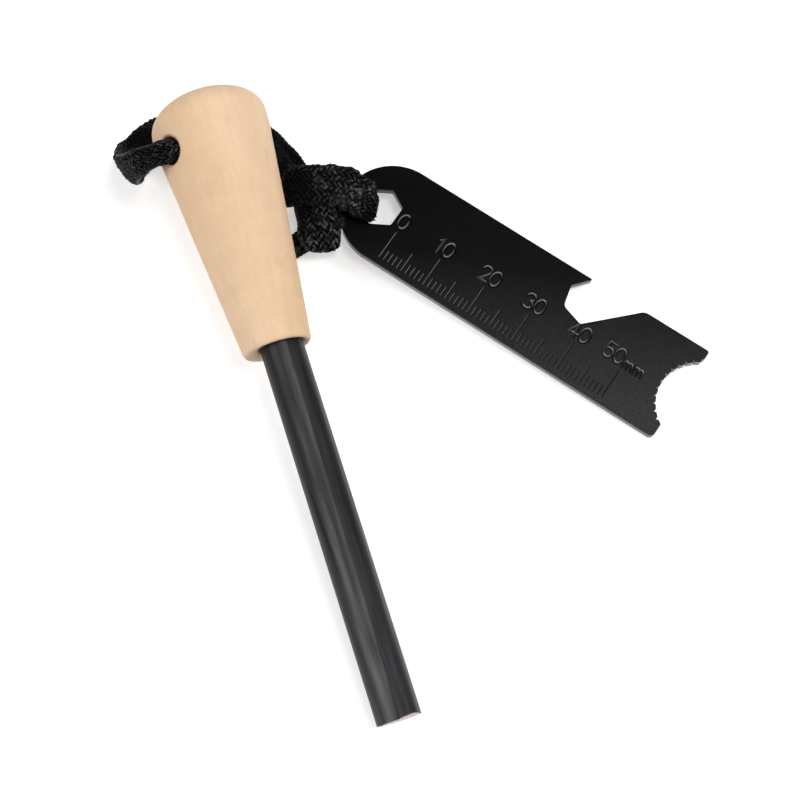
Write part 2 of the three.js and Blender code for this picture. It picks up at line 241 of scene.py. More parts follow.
def wood_material():
    m = Nodes("wood")
    blotch = m.noise(75, 2, 0.5, (1, 0.16, 1), ALONG_ROD)
    fibre = m.noise(1500, 3, 0.6, (1, 0.05, 1), ALONG_ROD)
    fleck = m.noise(520, 2, 0.55, (1, 0.3, 1), ALONG_ROD)
    cross = m.noise(260, 2, 0.5, (0.3, 1, 0.3), ALONG_ROD)
    flecked, scorched = (0.75, 0.49, 0.29, 1), (0.09, 0.05, 0.03, 1)
    paler_lip = (0.98, 0.78, 0.58, 1)
    colour = m.ramp(blotch, (0.3, (0.775, 0.52, 0.315)), (0.52, (0.83, 0.578, 0.37)),
                    (0.75, (0.865, 0.625, 0.42)))
    colour = m.mix(m.ramp(fleck, (0.3, 0.35), (0.42, 0)), colour, flecked)
    colour = m.mix(0.08, colour, m.ramp(fibre, (0.3, 0.25), (0.7, 1)), "MULTIPLY")
    colour = m.mix(0.07, colour, m.ramp(cross, (0.35, 0.4), (0.65, 1)), "MULTIPLY")
    # the cross hole's mouths are scorched, and the lip round the rod, below zero, is paler
    burn = m.attribute("burn")
    ragged = m.math("MULTIPLY", burn, m.ramp(fibre, (0.35, 0.3), (0.6, 1)), clamp=True)
    colour = m.mix(ragged, colour, scorched)
    colour = m.mix(m.math("MULTIPLY", burn, -1, clamp=True), colour, paler_lip)
    return m.finish(Base_Color=colour, Roughness=m.ramp(fleck, (0.3, 0.66), (0.7, 0.54)),
                    Normal=m.bump(m.shared(fibre, fleck, 0.4), 0.00006, 0.5),
                    Specular_IOR_Level=0.32)


def rod_material():
    m = Nodes("ferrocerium")
    streak = m.noise(900, 2.5, 0.5, (1, 0.012, 1), ALONG_ROD)
    fine = m.noise(2600, 3, 0.6, (1, 0.02, 1), ALONG_ROD)
    patch = m.noise(130, 3, 0.55, (1, 0.25, 1), ALONG_ROD)
    grain = m.noise(6500, 2, 0.5)
    hazed, burr = (0.06, 0.06, 0.066, 1), (0.1, 0.06, 0.05, 1)
    # the plain metal, and a lighter copy of it painted on the band as its highlight and on the far
    # right rim as shine
    dark = m.ramp(streak, (0.36, (0.009, 0.009, 0.011)), (0.64, (0.021, 0.021, 0.024)))
    light = m.ramp(streak, (0.36, (0.045, 0.045, 0.048)), (0.64, (0.085, 0.086, 0.088)))
    colour = m.mix(m.attribute("band"), dark, light)
    colour = m.mix(m.ramp(patch, (0.5, 0), (0.8, 0.25)), colour, hazed)
    # the cut end and its edge show bare, pinkish metal
    cut = m.attribute("cut")
    bare = m.ramp(m.noise(1700, 3, 0.6), (0.3, (0.42, 0.34, 0.35)), (0.7, (0.74, 0.68, 0.69)))
    bare = m.mix(m.ramp(cut, (0.55, 0), (0.85, 1)), burr, bare)
    colour = m.mix(m.ramp(cut, (0, 0), (0.4, 1)), colour, bare)
    drawn = m.bump(m.shared(streak, fine, 0.2), 0.00004, 0.4)
    return m.finish(Base_Color=colour, Metallic=0.3, Specular_IOR_Level=0.2,
                    Roughness=m.ramp(fine, (0.3, 0.38), (0.7, 0.5)),
                    Normal=m.bump(grain, 0.00001, 0.35, Normal=drawn))


def steel_material():
    m = Nodes("steel")
    grain = m.noise(5200, 3, 0.65)
    cloud = m.noise(60, 3, 0.5)
    speck = m.noise(3800, 2, 0.6)
    sheen_grey, wear_and_highlight_grey = (0.034, 0.034, 0.036, 1), (0.3, 0.3, 0.32, 1)
    colour = m.ramp(grain, (0.32, (0.0008, 0.0008, 0.0009)), (0.7, (0.0022, 0.0022, 0.0025)))
    # painted sheen: the face is painted lighter grey toward the teeth and the ruler, but not where
    # the cuts have painted shade
    toward = m.add("ShaderNodeVectorMath", operation="DOT_PRODUCT")
    m.feed(toward.inputs[0], m.mapped())
    m.feed(toward.inputs[1], PAINTED_SHEEN_WAY)
    painted_sheen = m.ramp(m.math("ADD", toward.outputs["Value"], PAINTED_SHEEN_FROM), (0, 0), (1, 1))
    painted_sheen = m.math("MULTIPLY", painted_sheen, m.ramp(speck, (0.36, 0.5), (0.66, 1)))
    # deep holds painted shade, on the cuts' dark sides and the wall's top, where the painted sheen
    # stays off
    deep = m.attribute("deep")
    painted_sheen = m.math("MULTIPLY", painted_sheen, m.math("SUBTRACT", 1, deep, clamp=True))
    colour = m.mix(painted_sheen, colour, sheen_grey)
    # the edge is worn to greyer metal, and the cuts' lit sides get the same grey as a painted
    # highlight
    wear_and_highlight = m.math("MULTIPLY", m.attribute("edge"), m.ramp(grain, (0.3, 0.5), (0.6, 1)))
    colour = m.mix(wear_and_highlight, colour, wear_and_highlight_grey)
    # the cuts' painted-shade sides don't spread light as the face does
    spread = m.math("SUBTRACT", 1, m.math("MULTIPLY", deep, 0.8))
    rough = m.math("MULTIPLY", m.ramp(cloud, (0.35, 0.28), (0.65, 0.33)), spread)
    return m.finish(Base_Color=colour, Normal=m.bump(grain, 0.00003, 0.8), Roughness=rough,
                    Specular_IOR_Level=0.11)


def glue_material():
    m = Nodes("glue")
    speck = m.noise(1400, 2, 0.5)
    colour = m.ramp(speck, (0.45, (0.014, 0.011, 0.009)), (0.75, (0.11, 0.085, 0.07)))
    return m.finish(Base_Color=colour, Roughness=0.5, Normal=m.bump(speck, 0.0001, 0.5),
                    Specular_IOR_Level=0.2)


def cord_material():
    m = Nodes("cord")
    # UV: along the yarn in millimetres and across it from 0 to 1
    strand = m.noise(2.2, 2, 0.5, (0.35, 9, 1), source="UV")
    fuzz = m.noise(2600, 3, 0.6)
    patch = m.noise(330, 2, 0.5)
    stroke = m.noise(1000, 2, 0.55)
    black, lit, matt = (0.0008, 0.0008, 0.0009, 1), (0.23, 0.23, 0.232, 1), (0.6, 0.6, 0.6, 1)
    # painted light and shade: black between the yarns, greyer on their crowns, and darker and more
    # matt under painted shade
    dull = m.attribute("dull")
    light = m.ramp(m.attribute("crown"), (0.45, 0), (0.95, 1))
    for shade in (m.ramp(stroke, (0.44, 0.04), (0.66, 1)), m.ramp(patch, (0.36, 0.3), (0.6, 1)),
                  m.ramp(strand, (0.35, 0.35), (0.65, 1)), m.ramp(dull, (0, 1), (1, 0.04))):
        light = m.mix(1, light, shade, "MULTIPLY")
    rough = m.mix(dull, m.ramp(patch, (0.35, 0.28), (0.65, 0.42)), matt)
    return m.finish(Base_Color=m.mix(light, black, lit), Roughness=rough,
                    Normal=m.bump(m.shared(strand, fuzz, 0.25), 0.0001, 0.9),
                    Specular_IOR_Level=0.1)


WOOD = wood_material()
FERRO = rod_material()
STEEL = steel_material()
GLUE = glue_material()
CORD = cord_material()


# The cord's routes, each row a place on its middle line, the way that its flat face looks,
# its width and its thickness
HANDLE_LOOP = [
    [11.9, 105.4, 4.2, 0.2, 0, 1, 4.6, 2.6], [11.4, 107.6, 4.2, 0.5, 0, 0.9, 4.8, 2.8],
    [10.7, 109.9, 4.7, 0.8, -0.2, 0.6, 4.9, 3.2], [8.7, 111.4, 6.3, 0.6, 0, 0.8, 4.9, 4.0],
    [4.3, 111.2, 9.55, 0.6, 0, 0.8, 4.9, 4.1], [-0.5, 110.9, 13.2, 0.6, 0, 0.8, 4.9, 4.1],
    [-5.3, 110.6, 16.75, 0.6, 0, 0.8, 4.9, 4.1], [-9.2, 110.3, 19.9, 0.6, 0, 0.8, 4.8, 3.9],
    [-11.3, 109.9, 20.6, 0.1, -0.1, 1, 4.9, 3.3], [-13.7, 110.2, 19.6, -0.4, -0.3, 0.9, 5.3, 3],
    [-15.9, 111.1, 17, -0.8, -0.4, 0.4, 5.9, 3], [-17.5, 113.0, 12.5, -0.9, -0.4, 0.1, 6.8, 3],
    [-17.6, 115.4, 8, -0.9, -0.4, -0.1, 7.8, 2.8], [-16.8, 118.8, 3.8, -0.8, -0.3, -0.6, 8.2, 2.6],
    [-14.5, 121.9, 1.6, 0, 0, -1, 8.5, 2.4], [-11.0, 123.9, 1.3, 0, 0, -1, 8.3, 2.4],
    [-6.2, 124.3, 1.25, 0, 0, -1, 7.2, 2.4], [-1.2, 123, 1.25, 0, 0, -1, 6.8, 2.4],
    [3.5, 120.8, 1.25, 0, 0, -1, 6.4, 2.4], [8.1, 118.2, 1.3, 0, 0, -1, 6.9, 2.5],
    [11.1, 113.9, 1.5, 0, 0, -1, 5.8, 2.7], [13.3, 109.6, 1.7, 0, 0, -1, 4.8, 2.9],
    [14.7, 105.4, 1.8, 0, 0, -1, 4.4, 2.9],
]
STRIKER_LOOP = [
    [9.6, 103.4, 6.4, -0.5, -0.1, 0.9, 8.6, 2.3], [12.9, 101.9, 7.7, -0.15, -0.2, 1, 8.7, 2.4],
    [16.9, 100.3, 8.1, 0, -0.24, 1, 8.9, 2.4], [20.2, 99.15, 7.8, 0.1, -0.12, 1, 9.2, 2.4],
    [21.9, 98, 7.25, 0.1, 0, 1, 9.1, 2.4], [23.1, 96.8, 6.6, 0.1, 0, 1, 8.9, 2.4],
    [24.1, 95.7, 6.2, 0.3, -0.12, 1, 8.9, 2.3], [24.85, 95.0, 5.8, 0.95, -0.39, 0.9, 8.4, 2.2],
    [25.1, 95.05, 5.55, 0.95, -0.42, 0.3, 7.2, 2.0], [25.3, 95.2, 4.9, 0.9, -0.44, 0, 5.2, 2],
    [25.3, 95.25, 3.75, 0.86, -0.51, 0, 5.5, 2], [25.25, 95.3, 2.75, 0.86, -0.51, 0, 5.5, 2],
    [24.9, 95.55, 1.8, 0.83, -0.48, -1, 5.7, 2.1], [23.9, 96.1, 1.4, 0, 0, -1, 6.1, 2.2],
    [21.1, 97.8, 1.35, 0, 0, -1, 6.4, 2.3], [17.6, 98.9, 1.3, 0, 0, -1, 6.4, 2.3],
]
KNOT_LOBE = [
    [14.8, 101.6, 4.2, 0, 0.2, 1, 7.4, 2.8], [14.6, 99, 5.2, -0.1, 0.2, 1, 8.8, 2.8],
    [14.3, 96, 6.1, -0.3, 0, 1, 9.1, 2.9], [13.8, 93.0, 5.7, -0.4, -0.3, 1, 8.9, 2.9],
    [13.2, 90.5, 4.5, -0.22, -0.8, 0.5, 8.4, 2.7], [12.7, 89.8, 3.2, -0.1, -1, 0.1, 7.2, 2.4],
]
KNOT_HEART = [
    [13.6, 103.2, 3, 0, 0, 1, 3.4, 3.4], [13.7, 101.6, 3, 0, 0, 1, 4.8, 4.8],
    [13.8, 99.2, 3, 0, 0, 1, 5.2, 5], [13.9, 97.8, 3, 0, 0, 1, 4, 4],
]
LEFT_TAIL = [
    [14, 94.8, 1.5, 0, 0, 1, 4.8, 2.4], [11.6, 93.9, 1.5, 0, 0, 1, 5.2, 2.4],
    [9.2, 93, 1.5, 0, 0, 1, 5.2, 2.4], [6.4, 91.9, 1.5, 0, 0, 1, 5, 2.4],
]
RIGHT_TAIL = [
    [17.3, 95.0, 5.9, 0, 0, 1, 2.4, 1.8], [17.9, 93.3, 6.1, 0, 0, 1, 2.9, 2.3],
    [17.8, 91.8, 5.8, 0, 0, 1, 2.8, 2.2],
]

# Places given painted shade, with their reach, and how it fades over them
SHADE_SPOTS = [((11.8, 101.6), 5.0), ((12, 110), 7), ((12.2, 96.5), 2.4), ((-15, 118), 6.5),
              ((-13, 122), 8)]
SHADE_MIDDLE, SHADE_FALL = 1.6, 1.3
# How much painted shade, and how bright the painted highlight on the crowns, whole stretches get,
# if not 0 and 1
PAINTED_SHADE = {"braid_handle_loop": 0.5, "braid_striker_loop": 0.22}
CROWN_HIGHLIGHT = {"braid_knot_lobe": 1.15, "braid_striker_loop": 0.96}

CARRIERS = 18  # yarns that wind each way
YARN_THICK = 0.42
YARN_STEP = 0.36
PITCH_SHARE = 0.9  # how far a yarn's turn runs, in ways round the cord's box
SPAN_STEPS = 24
SECTION_POWER = 2.6  # 2 is an ellipse, and more is squarer
END_REACH, END_SHARE = 1.2, 0.25  # where a cut end draws in, and what it keeps
END_YARN, END_YARN_BELOW = 0.6, 0.7  # its yarns' thickness, where it keeps less
CORE_SIDES, CORE_EVERY = 20, 4
# What lies inside the cord: inset in yarn thicknesses, least size, and steps round it
LAYER, CORE = ((2, 2), (0.5, 0.4), 160), ((1.4, 2.6), (0.3, 0.2), CORE_SIDES)
# Unevenness of a yarn's place, width and height and of the cord's size, changing each step
SLIP, SWELL, RISE, BULGE, WANDER_STEP = 0.1, 0.14, 0.34, 0.035, 1.6
# Yarns crowd in waves: size, waves round the cord, length of one along it and phase
CROWDS = ((0.22, 2, 9.1, 0.3), (0.14, 3, -6.7, 0))
OVER_UNDER, OVER_SHARE, RISE_SHARE = 2.0, 0.5, 0.34
EDGE_THIN, EDGE_LOW = 0.5, 0.75  # how much flatter the yarns are on its edges
SLOPE_REACH = 0.012  # of the way round, to each side, for the section's slope
YARN_FILL, YARN_FILL_RANGE = 0.98, (0.7, 1.25)  # of the room that a yarn has beside the next
LEAST_SLOPE = 0.3
# A yarn's section, across it and outwards, with its place across in the UV and its painted light
YARN_RING = np.array([(1, -0.1, 0, 0.55), (0.62, 0.72, 0.2, 0.9), (0, 1, 0.5, 1),
                      (-0.62, 0.72, 0.8, 0.9), (-1, -0.1, 1, 0.55), (0, -0.8, 0.5, 0)])


def smooth_rows(rows, per_span):
    rows = np.array(rows, float)
    rows = np.vstack([2 * rows[0] - rows[1], rows, 2 * rows[-1] - rows[-2]])
    out = []
    for a, b, c, d in zip(rows[:-3], rows[1:-2], rows[2:-1], rows[3:]):
        for t in np.arange(per_span) / per_span:
            out.append(0.5 * (2 * b + (c - a) * t + (2 * a - 5 * b + 4 * c - d) * t ** 2
                              + (3 * b - a - 3 * c + d) * t ** 3))
    out.append(rows[-2])
    return np.array(out)


class Route:
    """A cord's middle line at even steps, with its own directions and size there."""

    def __init__(self, rows, step):
        fine = smooth_rows(rows, SPAN_STEPS)
        run = np.concatenate([[0], np.cumsum(norm(np.diff(fine[:, :3], axis=0), axis=1))])
        self.length = run[-1]
        self.run = np.linspace(0, self.length, round(self.length / step) + 1)
        even = np.stack([np.interp(self.run, run, fine[:, k]) for k in range(fine.shape[1])], 1)
        self.at = even[:, :3]
        self.along = unit(np.gradient(self.at, self.run, axis=0))
        self.face = square_to(self.along, even[:, 3:6])
        self.across = np.cross(self.face, self.along)
        self.width, self.thick = even[:, 6], even[:, 7]
        near = np.minimum(self.run, self.length - self.run) / END_REACH
        self.kept = END_SHARE + (1 - END_SHARE) * np.minimum(1, near) ** 0.5


def section(size, kept, inset, least, count):
    """A flat cord's inset section, from its edge round, and each point's share of the way."""
    width, thick = (max(low, (full - thin * YARN_THICK) * kept)
                    for full, thin, low in zip(size, inset, least))
    turn = np.linspace(0, tau, count + 1)
    c, s = np.cos(turn), np.sin(turn)
    x = np.sign(c) * np.abs(c) ** (2 / SECTION_POWER) * width / 2
    y = np.sign(s) * np.abs(s) ** (2 / SECTION_POWER) * thick / 2
    run = np.concatenate([[0], np.cumsum(np.hypot(np.diff(x), np.diff(y)))])
    return x, y, run / run[-1]


class Yarns:
    """A braid's yarns, as arrays of yarns by steps along its route."""

    def __init__(self, route, rng):
        def wander(rows, spread):
            return np.array([np.interp(route.run, grid, rng.normal(0, spread, len(grid)))
                             for _ in range(rows)])

        grid = np.linspace(0, route.length, max(3, int(route.length / WANDER_STEP)) + 1)
        slip, self.swell, rise = (wander(2 * CARRIERS, spread) for spread in (SLIP, SWELL, RISE))
        bulge = 1 + wander(2, BULGE)
        # both layers' places round the cord, and which lies over the other
        pitch = 2 * (route.width.mean() + route.thick.mean()) * PITCH_SHARE
        wound, lay = route.run / pitch, 2 * route.run * CARRIERS / pitch
        first = np.arange(CARRIERS)[:, None]
        share = np.vstack([first / CARRIERS + wound, first / CARRIERS - wound])
        lift = np.vstack([np.cos(pi / 2 * (2 * first + lay - 0.5)),
                          -np.cos(pi / 2 * (2 * first - lay - 0.5))])
        crowd = sum(size * np.sin(tau * (waves * share + route.run / length + phase))
                    for size, waves, length, phase in CROWDS)
        share += (slip + crowd) / CARRIERS
        lift = (np.tanh(OVER_UNDER * lift) / np.tanh(OVER_UNDER) * OVER_SHARE
                + RISE_SHARE * rise) * YARN_THICK
        self.at, self.out = np.empty((2, 2 * CARRIERS, len(route.run), 3))
        self.flat = np.empty(lift.shape)
        self.spacing = np.empty(len(route.run))
        for k, (width, thick, kept) in enumerate(zip(route.width, route.thick, route.kept)):
            x, y, part = section((width * bulge[0, k], thick * bulge[1, k]), kept, *LAYER)
            self.spacing[k] = np.hypot(np.diff(x), np.diff(y)).sum() / CARRIERS
            here = share[:, k] % 1
            (px, py), before, after = (
                np.array([np.interp((here + reach) % 1, part, way) for way in (x, y)])
                for reach in (0, -SLOPE_REACH, SLOPE_REACH))
            ex, ey = after - before
            size = np.hypot(ex, ey) + TINY
            nx, ny = ey / size, -ex / size
            out = nx[:, None] * route.across[k] + ny[:, None] * route.face[k]
            self.out[:, k] = out
            self.flat[:, k] = 1 - EDGE_THIN * nx ** 2
            lift[:, k] *= 1 - EDGE_LOW * nx ** 2
            self.at[:, k] = (route.at[k] + px[:, None] * route.across[k]
                             + py[:, None] * route.face[k] + out * lift[:, k][:, None])
        self.high = np.clip(0.5 + lift / YARN_THICK, 0, 1)
        self.thick = YARN_THICK / 2 * np.where(route.kept < END_YARN_BELOW, END_YARN, 1)
        self.step = route.run[1]

    def tube(self, i):
        """One yarn's rings of points, with each point's UV and painted light."""
        along = np.gradient(self.at[i], axis=0)
        step = norm(along, axis=1)
        along /= step[:, None]
        out = square_to(along, self.out[i])
        side = np.cross(along, out)
        slope = np.clip(self.step / np.maximum(step, TINY), LEAST_SLOPE, 1)
        half = 0.5 * self.spacing * slope * np.clip(YARN_FILL + self.swell[i], *YARN_FILL_RANGE)
        thick = self.thick * self.flat[i]
        u, v, lean, light = YARN_RING.T
        points = (self.at[i][:, None] + side[:, None] * u[:, None] * half[:, None, None]
                  + out[:, None] * v[:, None] * thick[:, None, None])
        uv = np.stack(np.broadcast_arrays(np.cumsum(step)[:, None], i + lean), -1)
        # yarns that pass under others get painted shade
        light = light * self.high[i][:, None]
        return points.reshape(-1, 3), uv.reshape(-1, 2), light.ravel(), len(YARN_RING)


def core_tube(route):
    """The dark core, which closes the view between the yarns."""
    points, uv = [], []
    for k in range(0, len(route.run), CORE_EVERY):
        x, y, _ = section((route.width[k], route.thick[k]), route.kept[k], *CORE)
        points.append(route.at[k] + x[:-1, None] * route.across[k] + y[:-1, None] * route.face[k])
        uv.append(np.tile((route.run[k], 0.5), (CORE_SIDES, 1)))
    points = np.vstack(points)
    return points, np.vstack(uv), np.zeros(len(points)), CORE_SIDES


def braid(name, rows, body):
    """Interlaced yarns over a dark core, along a route."""
    route = Route(rows, YARN_STEP / sqrt(2))
    yarns = Yarns(route, np.random.default_rng(sum(map(ord, name))))
    tubes = [yarns.tube(i) for i in range(2 * CARRIERS)] + [core_tube(route)]
    faces, start = [], 0
    for points, _, _, sides in tubes:
        faces += tube_faces(start, len(points) // sides, sides)
        start += len(points)
    points, uv, crown = (np.concatenate([tube[k] for tube in tubes]) for k in range(3))
    # painted shade over whole stretches and round the given spots
    dull = np.full(len(points), PAINTED_SHADE.get(name, 0.0))
    for (x, y), reach in SHADE_SPOTS:
        away = np.hypot(points[:, 0] - x, points[:, 1] - y) / reach
        dull = np.maximum(dull, np.clip(SHADE_MIDDLE - SHADE_FALL * away, 0, 1))
    # the crowns' painted highlight, stronger or weaker for whole stretches
    crown *= CROWN_HIGHLIGHT.get(name, 1)
    obj = add_mesh(name, points, faces, CORD, uv=uv, dull=dull, crown=crown)
    if body:
        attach(obj, body)
    return obj, route


handle_loop, handle_route = braid("braid_handle_loop", HANDLE_LOOP, None)
striker_loop, _ = braid("braid_striker_loop", STRIKER_LOOP, "lanyard")
knot_lobe, _ = braid("braid_knot_lobe", KNOT_LOBE, "lanyard")
knot_heart, _ = braid("braid_knot_heart", KNOT_HEART, "lanyard")
left_tail, _ = braid("braid_tail_left", LEFT_TAIL, "lanyard")
right_tail, _ = braid("braid_tail_right", RIGHT_TAIL, "lanyard")
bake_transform(handle_loop)
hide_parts("cord_handle_loop")
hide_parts("cord_striker_loop")
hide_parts("cord_knot")
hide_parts("cord_knot")
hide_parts("cord_tail_left")
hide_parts("cord_tail_right")


# The rod's own frame: Y along its axis from the tip, Z up
AXIS_RISE = radians(4.7797)
ROD_RADIUS, ROD_SHOWN, ROD_LENGTH = 4.0, 71.0, 100


def from_rod(points):
    x, y, z = np.asarray(points, float).T
    c, s = cos(AXIS_RISE), sin(AXIS_RISE)
    return np.stack([x, y * c - z * s, y * s + z * c + ROD_RADIUS * c], 1)


# Wooden handle, along its own axis from the rim
DOME_TOP = 51.6
RIM, RIM_EASE, RIM_DROP, LIP_DROP = 6.2, 0.8, 0.3, 0.35
BELLY, BELLY_AT, BELLY_EASE = 11.05, 45.7, 0.5
TAPER, TAPER_END = 0.111, 0.85
DOME_FULL = 0.61
# How far the outside leans off the bore's axis along the handle, and how much fuller it is
LEAN_AT = (0, 20, BELLY_AT, DOME_TOP)
LEAN, FULLER = (-0.75, -0.62, -0.5, -0.3), (0.3, 0.25, 0.1, 0)
DOME_MIDDLE = 1  # the radius inside which it isn't
# The rod's bore, and how its mouth widens
BORE, BORE_DEPTH, BORE_MIDDLE = ROD_RADIUS + 0.28, 30.2, 12
BORE_MOUTH = ((0, 0.8), (0.1, 0.5), (0.35, 0.25))
# The cross hole, round whose mouths the grid of points turns into rings
HOLE_RADIUS, HOLE_AT, HOLE_TURN = 2.62, 40.3, radians(52.5)
MOUTH_EASE, MOUTH_STEPS_DEG, HOLE_STEPS = 0.2, (22, 45, 68, 90), 10
SIDES, SHAFT_ROWS = 96, 26
HALF_ROUND = SIDES // 2
CELL = BELLY * 0.963 * tau / SIDES  # as long as it is wide at the hole
HOLE_CELLS, SPREAD, SPREAD_STEP = 3, 8, 0.42
DOME_GAP = 0.15  # between the even rows and the dome's
# How scorched the wood is, or how pale, which is below zero
LIP_PALE, MOUTH_SCORCH, MOUTH_UNEVEN, EASE_SCORCH, HOLE_SCORCH = -0.4, 0.5, 0.4, 0.95, 0.7


def bezier(a, b, c, d, count):
    t = np.linspace(0, 1, count + 1)[:, None]
    a, b, c, d = (np.array(p, float) for p in (a, b, c, d))
    return (a * (1 - t) ** 3 + 3 * b * t * (1 - t) ** 2 + 3 * c * t ** 2 * (1 - t) + d * t ** 3)


def handle_profile():
    """The rim, the side and the dome, as curves of radius and place along the handle."""
    end = BELLY_AT * TAPER_END
    end_radius = RIM + TAPER * end
    ease = (BELLY_AT - end) * BELLY_EASE
    dome = DOME_TOP - BELLY_AT
    rim = bezier((RIM - RIM_EASE, -RIM_DROP), (RIM - RIM_EASE / 3, -LIP_DROP),
                 (RIM, RIM_EASE / 3 - RIM_DROP), (RIM + TAPER * RIM_EASE, RIM_EASE), 12)
    swell = bezier((end_radius, end), (end_radius + TAPER * ease, end + ease),
                   (BELLY, BELLY_AT - ease), (BELLY, BELLY_AT), 40)
    crown = bezier((BELLY, BELLY_AT), (BELLY, BELLY_AT + dome * DOME_FULL),
                   (BELLY * DOME_FULL, DOME_TOP), (0, DOME_TOP), 60)
    return rim, swell, crown


def square_share(down, across):
    """How far round its square ring a cell lies, in eighths."""
    ring = max(abs(down), abs(across))
    if abs(down) >= abs(across):
        return across / ring if down > 0 else 4 - across / ring
    return 2 - down / ring if across > 0 else 6 + down / ring


def round_hole(y, down, across, mouth, radius):
    """Place along and turn of a point near a mouth, where square rings become round ones."""
    ring = max(abs(down), abs(across)) - HOLE_CELLS
    angle = square_share(down, across) * pi / 4
    rho = HOLE_RADIUS + MOUTH_EASE + ring * SPREAD_STEP
    round_y = HOLE_AT + rho * cos(angle)
    round_turn = HOLE_TURN + tau * mouth / SIDES + asin(rho * sin(angle) / radius(round_y))
    w = ring / (SPREAD - HOLE_CELLS)
    w = w * w * (3 - 2 * w)
    turn = HOLE_TURN + tau * (mouth + across) / SIDES
    return y * w + round_y * (1 - w), turn * w + round_turn * (1 - w), angle


def make_handle():
    rim, swell, crown = handle_profile()
    side = np.vstack([rim, swell, crown[1:]])

    def radius(y):
        return float(np.interp(y, side[:, 1], side[:, 0]))

    inner = [(BORE, BORE_DEPTH), (BORE, BORE_MIDDLE)] + [(BORE + r, y) for r, y in BORE_MOUTH]
    even = [*np.linspace(RIM_EASE, HOLE_AT - SPREAD * CELL, SHAFT_ROWS)[1:],
            *(HOLE_AT + k * CELL for k in range(1 - SPREAD, SPREAD + 1))]
    dome = crown[crown[:, 1] > HOLE_AT + SPREAD * CELL + DOME_GAP]
    profile = [*inner, *rim[::2], *((radius(y), y) for y in even), *dome[:-1:2]]
    hole_row = len(inner) + len(rim[::2]) + even.index(HOLE_AT)
    points, burn, faces, numbers = [], [], [], {}

    def add(point, scorch):
        points.append(tuple(point))
        burn.append(scorch)
        return len(points) - 1

    for row, (full, y) in enumerate(profile):
        for col in range(SIDES):
            mouth = HALF_ROUND if HALF_ROUND // 2 < col <= HALF_ROUND * 3 // 2 else 0
            down = row - hole_row
            across = (col - mouth + HALF_ROUND) % SIDES - HALF_ROUND
            ring = max(abs(down), abs(across))
            if ring < HOLE_CELLS:
                continue
            at, r, scorch = y, full, 0
            turn = HOLE_TURN + tau * col / SIDES
            if ring <= SPREAD:
                at, turn, angle = round_hole(y, down, across, mouth, radius)
                r = radius(at)
                if ring == HOLE_CELLS:
                    scorch = MOUTH_SCORCH + MOUTH_UNEVEN * cos(angle)
            lean = 0
            if row >= len(inner):
                lean = np.interp(at, LEAN_AT, LEAN)
                r += np.interp(at, LEAN_AT, FULLER) if r > DOME_MIDDLE else 0
            if row in (len(inner) - 1, len(inner)):
                scorch = LIP_PALE
            numbers[row, col] = add((lean - r * sin(turn), ROD_SHOWN + at, r * cos(turn)), scorch)
    for row in range(len(profile) - 1):
        for col in range(SIDES):
            after = (col + 1) % SIDES
            quad = [(row, col), (row + 1, col), (row + 1, after), (row, after)]
            if all(q in numbers for q in quad):
                faces.append([numbers[q] for q in quad])
    # the bore's end and the dome's top
    for row, lean, y in ((0, 0, BORE_DEPTH), (len(profile) - 1, LEAN[-1], DOME_TOP)):
        pole = add((lean, ROD_SHOWN + y, 0), 0)
        for col in range(SIDES):
            a, b = numbers[row, col], numbers[row, (col + 1) % SIDES]
            faces.append((b, a, pole) if row else (pole, a, b))
    # the cross hole: rings round both mouths in the same order, their rounding and the bore
    axis = np.array([-sin(HOLE_TURN), 0, cos(HOLE_TURN)])
    middle = np.array([np.interp(HOLE_AT, LEAN_AT, LEAN), ROD_SHOWN + HOLE_AT, 0])
    cells = range(-HOLE_CELLS, HOLE_CELLS + 1)
    square = sorted(((down, across) for down in cells for across in cells
                     if HOLE_CELLS in (abs(down), abs(across))),
                    key=lambda cell: square_share(*cell) % 8)
    mouths = []
    for mouth, out in ((0, 1), (HALF_ROUND, -1)):
        ring = [numbers[hole_row + down, (mouth + out * across) % SIDES] for down, across in square]
        rounding = [ring]
        for turn in np.radians(MOUTH_STEPS_DEG):
            made = []
            for number in ring:
                p = np.array(points[number]) - middle
                height = float(p @ axis)
                flat = p - axis * height
                rho = HOLE_RADIUS + MOUTH_EASE * (1 - sin(turn))
                deep = height - out * MOUTH_EASE * (1 - cos(turn))
                made.append(add(middle + axis * deep + flat / norm(flat) * rho, EASE_SCORCH))
            rounding.append(made)
        mouths.append(rounding)
    ends = [[np.array(points[number]) for number in mouth[-1]] for mouth in mouths]
    between = [[add(a * (1 - t) + b * t, HOLE_SCORCH) for a, b in zip(*ends)]
               for t in np.linspace(0, 1, HOLE_STEPS)[1:-1]]
    layers = mouths[0] + between + mouths[1][::-1]
    for a, b in zip(layers, layers[1:]):
        faces.extend(quad[::-1] for quad in bridge(a, b))
    return fix_outward(add_mesh("turned_handle", from_rod(points), faces, WOOD, burn=burn))


handle = make_handle()
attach(handle, "handle")
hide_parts("wood_handle")


# Fire rod, with a rough sheared end
ROD_SIDES, ROD_SHARP_DEG = 96, 35
ROD_FULLER, ROD_ASIDE = 1.02, 0.05
# Waves round the end: how many, how high and where they start
END_WAVES = ((2, 0.16, 0.5), (3, 0.13, 2.1), (5, 0.1, 4.0), (9, 0.05, 1.0), (14, 0.035, 3.0))
# How far the end's edge is broken back, everywhere and at its worst chip
CHIP, CHIP_WAVES, CHIP_RANGE = 0.13, 0.4, (0.05, 0.6)
CHIP_WORST, CHIP_AT, CHIP_WIDE = 0.16, 5.75, 0.5
